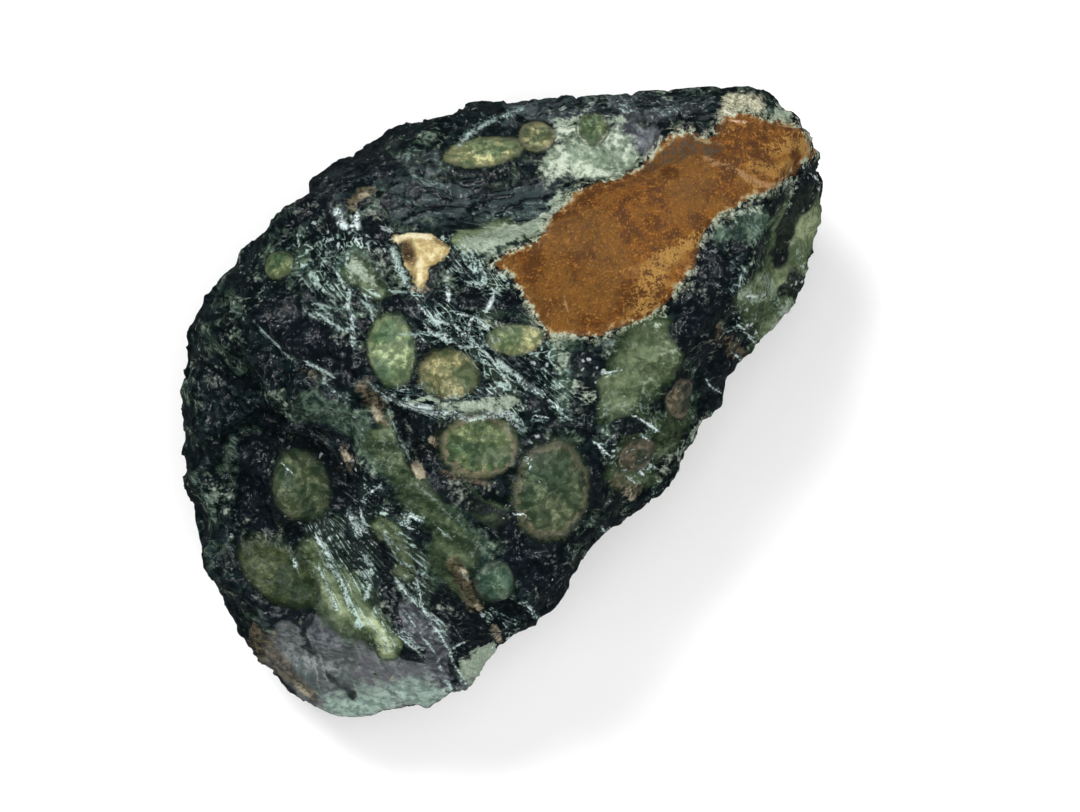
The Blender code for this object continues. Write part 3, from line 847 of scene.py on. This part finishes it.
def shaded(by, low, high, dark, light):
    """The dark colour up to low, the light one from high, and their blend between."""
    return blend(between(by, low, high), dark, light)


def group(name, inputs, outputs):
    made = bpy.data.node_groups.new(name, "ShaderNodeTree")
    for label, kind, value in inputs:
        socket = made.interface.new_socket(label, in_out="INPUT", socket_type=kind)
        if value is not None:
            socket.default_value = value
    for label in outputs:
        made.interface.new_socket(label, in_out="OUTPUT", socket_type="NodeSocketFloat")
    return made, made.nodes.new("NodeGroupInput").outputs, made.nodes.new("NodeGroupOutput").inputs


# Threads: thin crooked lines that run roughly one way, as 1 on a thread and 0 off it, and
# the smooth noise that they are cut from.
threads, given, gives = group(
    "threads",
    [
        ("Place", "NodeSocketVector", None), ("Turn", "NodeSocketVector", None),
        ("Stretch", "NodeSocketVector", None), ("Scale", "NodeSocketFloat", 1.0),
        ("Lines", "NodeSocketFloat", 12.0), ("Width", "NodeSocketFloat", 0.5),
    ],
    ["Thread", "Grain"],
)
turned = add("ShaderNodeMapping", {
    "Vector": given["Place"], "Rotation": given["Turn"],
}, threads, vector_type="TEXTURE").outputs[0]
turned = add("ShaderNodeMapping", {
    "Vector": turned, "Scale": given["Stretch"],
}, threads, vector_type="POINT").outputs[0]
wave = mottle(turned, given["Scale"], 0.0, 0.5, threads)
fill(gives["Grain"], wave)
wave = maths("PINGPONG", maths("MULTIPLY", wave, given["Lines"], threads), 1.0, threads)
wave = maths("DIVIDE", wave, given["Width"], threads)
fill(gives["Thread"], between(wave, 0.0, 1.0, 1.0, 0.0, threads))


def thread(place, turn, stretch, scale, lines, width):
    return add("ShaderNodeGroup", {
        "Place": place, "Turn": (0.0, 0.0, math.radians(turn)), "Stretch": stretch,
        "Scale": scale, "Lines": lines, "Width": width,
    }, node_tree=threads).outputs


# Flats: small cells of the broken face, each tilted its own way, as a height in mm, with a
# chance of its own and the distance from its middle.
flats, given, gives = group(
    "flats",
    [("Place", "NodeSocketVector", None), ("Scale", "NodeSocketFloat", 1.0)],
    ["Height", "Chance", "Away"],
)
cells = add("ShaderNodeTexVoronoi", {
    "Vector": given["Place"], "Scale": given["Scale"],
}, flats, feature="F1").outputs
away = vectors("SUBTRACT", given["Place"], cells["Position"], flats)
lean = vectors("SUBTRACT", cells["Color"], (0.5, 0.5, 0.5), flats)
fill(gives["Height"], vectors("DOT_PRODUCT", away, lean, flats))
fill(gives["Chance"], add("ShaderNodeSeparateColor", {0: cells["Color"]}, flats).outputs[0])
fill(gives["Away"], cells["Distance"])

# The noises that the finish is mixed from, in mm: clouds kept on the mesh, and a fine and a
# finer one.
where = scaled(add("ShaderNodeTexCoord").outputs["Object"], MM)
broad, coarse, middle = mark("broad"), mark("coarse"), mark("middle")
fine = mottle(where, 2.4, 2.0, 0.65)
grain = mottle(where, 7.0, 1.0, 0.6)
flow = vectors("ADD", where, scaled(mark("drift", "Vector"), 1.3))
flat = add("ShaderNodeGroup", {"Place": where, "Scale": 2.2}, node_tree=flats).outputs

# The matrix: almost black, with slate and dark moss clouds, and small flats that are lighter by
# chance: partly their own tone, partly a painted sheen as if each caught the light its own way.
INK, SLATE = (0.0012, 0.0036, 0.0044), (0.0095, 0.0195, 0.0215)
MOSS = (0.024, 0.042, 0.026)
LIT_FLAT = (0.015, 0.027, 0.031)
clouds = both(between(fine, 0.44, 0.66), between(middle, 0.36, 0.6, 0.3, 1.0))
colour = blend(clouds, INK, SLATE)
mossy = both(between(broad, 0.46, 0.60), between(wobble(middle, fine, 0.7), 0.46, 0.62))
colour = blend(both(mossy, 0.8), colour, MOSS)
colour = blend(between(flat["Chance"], 0.6, 0.95, 0.0, 0.4), colour, LIT_FLAT)

# The toe: dull grey with lavender and dark patches.
TOE_GREYS = (0.075, 0.088, 0.088), (0.25, 0.28, 0.275)
TOE_LAVENDER = (0.125, 0.122, 0.142)
TOE_DARK = (0.036, 0.050, 0.047)
TOE_PALES = (0.17, 0.25, 0.21), (0.36, 0.47, 0.41)
fan = thread(mark("fan", "Vector"), 0, (1.0, 0.055, 1.0), 1.5, 10.0, 0.55)
fibres, fan_grain = fan["Thread"], fan["Grain"]
toe_in = between(wobble(mark("toe"), middle, 1.6, fine, 0.9), -0.3, 0.2, 1.0, 0.0)
toe = shaded(wobble(fine, fibres, 0.12), 0.36, 0.66, *TOE_GREYS)
toe = blend(both(between(wobble(coarse, fine, 0.4), 0.48, 0.60), 0.7), toe, TOE_LAVENDER)
toe = blend(both(between(wobble(middle, fine, 0.8), 0.52, 0.66), 0.70), toe, TOE_DARK)
toe_pale = between(wobble(mark("pale"), middle, 0.9, fine, 0.5), 0.0, 1.1)
toe = blend(toe_pale, toe, shaded(fine, 0.35, 0.65, *TOE_PALES))
colour = blend(toe_in, colour, toe)

# Green, splintered, grey and olive-to-straw rock, then the blackest places: black rock, and painted
# shade in hollows, under ledges and on slopes turned from the light.
GREENS = (0.016, 0.032, 0.025), (0.090, 0.142, 0.098)
GREEN_FLECK = (0.17, 0.22, 0.16)
GAPS = (0.003, 0.007, 0.008), (0.026, 0.038, 0.032)
GREYS = (0.046, 0.052, 0.062), (0.165, 0.175, 0.190)
OLIVES = (0.022, 0.038, 0.018), (0.124, 0.164, 0.088)
STRAW = (0.36, 0.43, 0.24)
OLIVE_SHADES = (0.66, 0.70, 0.66), (1.36, 1.32, 1.36)
BLACK_ROCK_AND_SHADE = (0.0022, 0.0042, 0.0060), (0.010, 0.016, 0.021)
leaf = shaded(wobble(fine, middle, 0.8), 0.32, 0.70, *GREENS)
leaf = blend(both(between(grain, 0.60, 0.76), 0.5), leaf, GREEN_FLECK)
green = between(wobble(mark("green"), coarse, 1.8, fine, 1.3), 0.15, 1.0)
colour = blend(both(green, 0.92), colour, leaf)
splintered = between(wobble(mark("splinters"), middle, 0.9, fine, 0.5), 0.2, 0.7)
colour = blend(both(splintered, 0.75), colour, blend(fine, *GAPS))
grey = between(wobble(mark("grey"), middle, 1.0), 0.3, 0.8)
colour = blend(both(grey, 0.85), colour, shaded(wobble(fine, fibres, 0.15), 0.3, 0.7, *GREYS))
olive_share = wobble(mark("olive"), fine, 0.40, middle, 0.32, fan_grain, 0.45)
olive = shaded(olive_share, 0.40, 1.0, *OLIVES)
olive = blend(between(olive_share, 1.0, 1.6), olive, STRAW)
olive = times(olive, shaded(wobble(fan_grain, fine, 0.8, grain, 0.3), 0.30, 0.70, *OLIVE_SHADES))
colour = blend(both(between(olive_share, 0.14, 0.52), 0.95), colour, olive)
# The dark mask holds black rock and painted shade.
dark = between(wobble(mark("dark"), coarse, 1.0, fine, 0.7), 0.30, 0.80)
colour = blend(both(dark, 0.94), colour, shaded(fine, 0.42, 0.72, *BLACK_ROCK_AND_SHADE))

# Mint threads: a thin net where the rock splintered, long fibres that fan out beside the
# toe, streaks along the back slope, and a stray one elsewhere.
MINTS = (0.046, 0.086, 0.078), (0.48, 0.64, 0.585)
STREAK = (0.066, 0.094, 0.094)
TUFTS = (0.23, 0.30, 0.215), (0.58, 0.655, 0.525)
net = either(
    thread(flow, -44, (0.20, 1.0, 0.6), 1.1, 14.0, 0.40)["Thread"],
    both(thread(flow, -14, (0.22, 1.0, 0.6), 1.3, 10.0, 0.30)["Thread"], 0.8),
)
net_share = between(wobble(mark("net"), fine, 1.6, middle, 1.6), 0.35, 1.0)
near_line = between(maths("ABSOLUTE", mark("line")), 1.0, 4.5, 0.9, 0.0)
net_share = either(net_share, both(near_line, mark("line_glow")))
stray_share = both(between(broad, 0.52, 0.66, 0.0, 0.28), between(middle, 0.50, 0.62))
net_here = both(net, either(net_share, stray_share))
fibres_here = both(fibres, splintered)
fibres_here = both(fibres_here, between(wobble(fine, middle, 1.2), 0.40, 0.62, 0.05, 1.0))
open_rock = maths("SUBTRACT", 1.0, both(dark, 0.8))
streak = thread(flow, 10, (0.09, 1.0, 1.0), 2.2, 7.0, 0.6)
bands = between(wobble(streak["Grain"], fine, 0.5), 0.46, 0.64)
streaked = between(wobble(mark("streaks"), middle, 0.8), 0.2, 0.8)
streaks_here = both(either(both(streak["Thread"], 0.45), bands), streaked)
mint = shaded(wobble(grain, fine, 0.8, middle, 0.8), 0.38, 0.68, *MINTS)
colour = blend(both(streaks_here, 0.52), colour, STREAK)
colour = blend(both(both(either(net_here, fibres_here), open_rock), 0.92), colour, mint)
tuft_in = between(wobble(mark("tuft"), coarse, 1.0, fine, 1.6), 0.15, 1.10)
tuft = shaded(wobble(middle, fine, 1.0, fan_grain, 0.6), 0.32, 0.66, *TUFTS)
colour = blend(tuft_in, colour, tuft)

# Pale, brown and buff places.
PALES = (0.11, 0.16, 0.12), (0.46, 0.54, 0.42)
BROWNS = (0.022, 0.020, 0.012), (0.135, 0.108, 0.066)
BUFFS = (0.105, 0.085, 0.055), (0.56, 0.50, 0.36)
pale = between(wobble(mark("pale"), fine, 1.4, net, 0.3), 0.30, 0.85)
pale = both(pale, maths("SUBTRACT", 1.0, toe_in))
colour = blend(pale, colour, blend(wobble(grain, fine, 0.6), *PALES))
brown = between(wobble(mark("brown"), fine, 1.4, grain, 0.5), 0.35, 0.9)
colour = blend(both(brown, 0.75), colour, shaded(fine, 0.35, 0.65, *BROWNS))
buff = between(wobble(mark("buff"), fine, 1.2), 0.30, 0.95)
colour = blend(both(buff, 0.9), colour, blend(wobble(fine, grain, 0.8), *BUFFS))

# Orbs: olive, mottled and finely rayed from the middle outwards, each with a thin rim that
# is lighter than the rest and, in places, a dark seam round it.
ORB_CLOUDS = (0.56, 0.68, 0.62), (1.28, 1.16, 1.04)
ORB_RAYS = (0.64, 0.70, 0.62), (1.28, 1.26, 1.20)
ORB_FLECK = (2.6, 2.5, 2.7)
ORB_BORDER_AND_SHADE = (0.50, 0.48, 0.44)
ORB_RIMS = (0.100, 0.080, 0.052), (0.25, 0.21, 0.145)
ORB_SEAM = (0.005, 0.008, 0.008)
ORB_HEART = (0.014, 0.018, 0.012)
reach_here = wobble(mark("orb_reach"), middle, 0.30, fine, 0.40, grain, 0.12)
in_orb = between(reach_here, 0.84, 1.05, 1.0, 0.0)
way = vectors("NORMALIZE", mark("orb_way", "Vector"))
rays = mottle(vectors("ADD", scaled(way, 0.35), scaled(where, 0.75)), 2.4, 0.0, 0.65)
orb = times(mark("orb_tint", "Color"), shaded(wobble(middle, coarse, 0.8), 0.38, 0.62, *ORB_CLOUDS))
orb = times(orb, shaded(wobble(rays, fine, 0.6), 0.38, 0.64, *ORB_RAYS))
flecks = between(wobble(grain, fine, 1.4, middle, 0.8), 0.54, 0.80)
orb = blend(both(flecks, 0.55), orb, times(orb, ORB_FLECK))
# Each orb darkens towards its edge: partly its own darker border, partly painted shade that makes
# it look rounded.
orb = blend(between(reach_here, 0.50, 1.0, 0.0, 0.5), orb, times(orb, ORB_BORDER_AND_SHADE))
rim_line = both(between(reach_here, 0.74, 0.84), between(reach_here, 0.88, 0.98, 1.0, 0.0))
rim_line = both(both(rim_line, mark("orb_rim")), between(fine, 0.36, 0.60, 0.3, 1.0))
orb = blend(both(rim_line, 0.8), orb, blend(grain, *ORB_RIMS))
seam = both(between(reach_here, 0.96, 1.02), between(reach_here, 1.02, 1.20, 1.0, 0.0))
seam = both(seam, between(wobble(middle, fine, 0.8), 0.42, 0.60))
colour = blend(both(seam, 0.8), colour, ORB_SEAM)
colour = blend(both(in_orb, 0.95), colour, orb)
heart = both(between(reach_here, 0.02, 0.16, 0.6, 0.0), mark("orb_rim"))
colour = blend(heart, colour, ORB_HEART)

# Veins and splinter edges, painted glints and highlights as small white dashes, painted glints as
# pale specks on small flats, then the cream places.
VEIN_AND_GLINT_COLOURS = (0.17, 0.26, 0.22), (0.68, 0.79, 0.78)
GLINT_SPECK_COLOURS = (0.16, 0.20, 0.19), (0.62, 0.68, 0.68)
CREAMS = (0.30, 0.31, 0.21), (0.68, 0.66, 0.47)
glow = mark("line_glow")
shake = between(glow, 1.2, 1.8, 1.0, 0.15)
ragged = wobble(0.0, fine, 2.4, grain, 1.2)
off_line = maths("ABSOLUTE", maths("ADD", mark("line"), both(ragged, shake)))
on_line = both(between(off_line, 0.15, 1.45, 1.0, 0.0), between(glow, 0.1, 0.9))
on_line = both(on_line, between(wobble(fine, grain, 0.8, middle, 0.8), 0.36, 0.56, 0.15, 1.0))
# Mint for the veins, white for the painted glints and highlights.
vein_and_glint = shaded(wobble(glow, grain, 1.4), 0.4, 1.8, *VEIN_AND_GLINT_COLOURS)
colour = blend(both(on_line, 0.95), colour, vein_and_glint)
# Pale specks on some of the small flats: painted glints.
glint_speck_share = wobble(both(mark("glint_specks"), 0.27), middle, 0.20)
glint_speck = both(
    between(wobble(flat["Away"], fine, 1.8), 0.14, 0.34, 1.0, 0.0),
    between(maths("ADD", flat["Chance"], glint_speck_share), 1.03, 1.07),
)
colour = blend(both(glint_speck, 0.85), colour, blend(grain, *GLINT_SPECK_COLOURS))
cream = between(wobble(mark("cream"), fine, 1.0, middle, 0.8), 0.25, 0.90)
colour = blend(cream, colour, shaded(grain, 0.3, 0.6, *CREAMS))

# Rust: orange-brown with ochre clouds, gold flecks that are partly its own yellow and partly
# painted highlights, dark flecks, a few veins, and a smutty place, inside a pale crumbled border.
RUSTS = (0.074, 0.025, 0.002), (0.212, 0.076, 0.005)
OCHRE = (0.136, 0.062, 0.011)
GOLDS_AND_HIGHLIGHTS = (0.22, 0.118, 0.016), (0.50, 0.29, 0.08)
RUST_FLECK = (0.32, 0.155, 0.045)
RUST_SPOT = (0.070, 0.026, 0.007)
SMUT = (0.034, 0.036, 0.028)
RUST_EDGE = (0.40, 0.28, 0.13)
RUST_VEINS = (0.36, 0.205, 0.090), (0.72, 0.53, 0.36)
BORDERS = (0.085, 0.105, 0.065), (0.48, 0.50, 0.36)
from_rust = wobble(mark("rust"), fine, 0.9, middle, 0.5)
rust_in = between(from_rust, -0.06, 0.04, 1.0, 0.0)
rust = shaded(wobble(middle, coarse, 0.3, fine, 0.7, grain, 0.6), 0.26, 0.72, *RUSTS)
rust = blend(both(between(wobble(broad, middle, 0.6), 0.44, 0.60), 0.6), rust, OCHRE)
# Gold: partly the rust's own yellow, partly painted highlights.
gold_and_highlight = both(
    between(wobble(mark("gold_and_highlight"), middle, 1.8), 0.1, 1.0),
    between(wobble(fine, fan_grain, 0.8, grain, 0.6), 0.48, 0.66),
)
rust = blend(both(gold_and_highlight, 0.80), rust, blend(grain, *GOLDS_AND_HIGHLIGHTS))
rust = blend(between(wobble(grain, fine, 0.6), 0.58, 0.76, 0.0, 0.6), rust, RUST_FLECK)
rust = blend(between(wobble(fine, grain, 0.6), 0.28, 0.44, 0.4, 0.0), rust, RUST_SPOT)
smut = between(wobble(mark("smut"), middle, 1.0), 0.2, 0.9)
smut = both(smut, between(wobble(fine, grain, 0.6), 0.42, 0.54))
rust = blend(both(smut, 0.8), rust, SMUT)
edge = both(between(from_rust, -0.30, -0.05), between(wobble(middle, fine, 1.0), 0.42, 0.60))
rust = blend(both(edge, 0.6), rust, RUST_EDGE)
rust = blend(both(on_line, 0.8), rust, shaded(glow, 0.9, 1.4, *RUST_VEINS))
border = between(from_rust, 0.05, 0.75, 1.0, 0.0)
border = both(border, between(wobble(middle, fine, 1.6), 0.40, 0.62))
border_colour = shaded(wobble(fine, grain, 1.0), 0.36, 0.66, *BORDERS)
colour = blend(both(border, 0.85), colour, border_colour)
colour = blend(rust_in, colour, rust)

# The chip of rind: buff, with cream and tan places, a dark pit and light flecks.
RINDS = (0.42, 0.31, 0.125), (0.63, 0.53, 0.27)
RIND_CREAM = (0.76, 0.68, 0.44)
RIND_TAN = (0.170, 0.105, 0.040)
PITS = (0.026, 0.014, 0.006), (0.100, 0.060, 0.022)
RIND_FLECK = (0.80, 0.74, 0.54)
rind_in = between(wobble(mark("rind"), fine, 0.55, middle, 0.7), -0.10, 0.08, 1.0, 0.0)
rind = shaded(wobble(middle, fine, 1.2), 0.36, 0.64, *RINDS)
rind = blend(between(wobble(mark("cream"), fine, 1.2, middle, 0.8), 0.1, 1.0), rind, RIND_CREAM)
rind = blend(between(wobble(mark("tan"), fine, 1.4), 0.1, 1.1), rind, RIND_TAN)
rind = blend(between(wobble(mark("pit"), fine, 1.2), 0.15, 1.05), rind, blend(fine, *PITS))
rind = blend(between(grain, 0.60, 0.75, 0.0, 0.5), rind, RIND_FLECK)
colour = blend(rind_in, colour, rind)
fill(shader.inputs["Base Color"], colour)

# Gloss and relief: the matrix shines, and rust, rind, toe and orbs are duller. The relief
# is in mm, from the small flats, the grain and the fine clouds.
dull = either(rust_in, either(both(toe_in, 0.7), both(in_orb, 0.45)))
dull = either(dull, rind_in)
gloss = between(wobble(fine, middle, 0.6), 0.3, 0.7, 0.07, 0.24)
fill(shader.inputs["Roughness"], maths("ADD", gloss, both(dull, 0.50)))
shader.inputs["IOR"].default_value = 1.54
shader.inputs["Specular IOR Level"].default_value = 0.32
relief = maths("ADD", both(flat["Height"], mark("flat_share")), both(grain, mark("grain_share")))
relief = maths("ADD", relief, both(fine, 0.12))
bump = add("ShaderNodeBump", {"Height": relief, "Distance": 0.001, "Strength": 1.0})
fill(shader.inputs["Normal"], bump.outputs["Normal"])

stone.data.materials.clear()
stone.data.materials.append(jasper)
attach(stone, "root")
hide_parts("jasper_stone")

# Floor
# A plain pale table, as a seller lays out rough stones on. It glows a little, because the
# photograph's floor is almost white.
FLOOR_SIZE = 6.0
FLOOR_DROP = 0.00005
floor_mesh = bpy.data.meshes.new("floor")
bm = bmesh.new()
bmesh.ops.create_grid(bm, x_segments=1, y_segments=1, size=FLOOR_SIZE / 2)
bm.to_mesh(floor_mesh)
bm.free()
floor = bpy.data.objects.new("floor", floor_mesh)
floor.location.z = -FLOOR_DROP
floor.visible_glossy = False
bpy.context.scene.collection.objects.link(floor)
floor_finish = bpy.data.materials.new("floor")
floor_finish.use_nodes = True
floor_shader = floor_finish.node_tree.nodes["Principled BSDF"]
floor_shader.inputs["Base Color"].default_value = (0.88, 0.88, 0.875, 1.0)
floor_shader.inputs["Roughness"].default_value = 0.7
floor_shader.inputs["Emission Color"].default_value = (1.0, 1.0, 1.0, 1.0)
floor_shader.inputs["Emission Strength"].default_value = 0.16
floor_mesh.materials.append(floor_finish)

# Lamps
# Soft studio light. The big lamps only light the stone and the small ones only leave
# glints, as with polarising sheets.


def softbox(name, facing, height, distance, size, power, glints=False):
    """A square lamp at that compass side and height (degrees), aimed at the stone's foot."""
    facing, height = math.radians(facing), math.radians(height)
    place = Vector((
        math.cos(facing) * math.cos(height), math.sin(facing) * math.cos(height), math.sin(height),
    )) * distance
    lamp = bpy.data.lights.new(name, "AREA")
    lamp.shape = "SQUARE"
    lamp.size = size
    lamp.energy = power
    obj = bpy.data.objects.new(name, lamp)
    bpy.context.scene.collection.objects.link(obj)
    obj.location = place
    obj.rotation_euler = (-place).to_track_quat("-Z", "Y").to_euler()
    obj.visible_glossy = glints
    obj.visible_diffuse = not glints


softbox("key", 125, 50, 1.1, 0.32, 9.5)
softbox("fill", -38, 30, 1.2, 0.9, 7.5)
softbox("left", 205, 38, 1.2, 0.5, 2.6)
softbox("overhead", 60, 84, 1.3, 0.8, 8.0)
softbox("glint behind", 105, 58, 1.3, 0.08, 3.2, True)
softbox("glint above left", 150, 66, 1.3, 0.08, 2.4, True)
softbox("glint left", 190, 48, 1.3, 0.08, 2.0, True)
softbox("glint right", 15, 55, 1.3, 0.08, 2.0, True)
softbox("glint low", 60, 36, 1.3, 0.10, 2.4, True)
softbox("sheen", 75, 62, 1.2, 0.30, 0.22, True)

# The camera sees an almost white room, which lights the stone only a little.
world = bpy.data.worlds.new("room")
bpy.context.scene.world = world
world.use_nodes = True
room = world.node_tree
sky = room.nodes["Background"]
sky.inputs["Color"].default_value = (0.90, 0.95, 1.0, 1.0)
sky.inputs["Strength"].default_value = 0.06
pale_sky = add("ShaderNodeBackground", {"Color": (0.93, 0.93, 0.93), "Strength": 1.0}, room)
to_camera = add("ShaderNodeLightPath", tree=room).outputs["Is Camera Ray"]
which = add("ShaderNodeMixShader", {0: to_camera, 1: sky.outputs[0], 2: pale_sky.outputs[0]}, room)
fill(room.nodes["World Output"].inputs["Surface"], which.outputs[0])
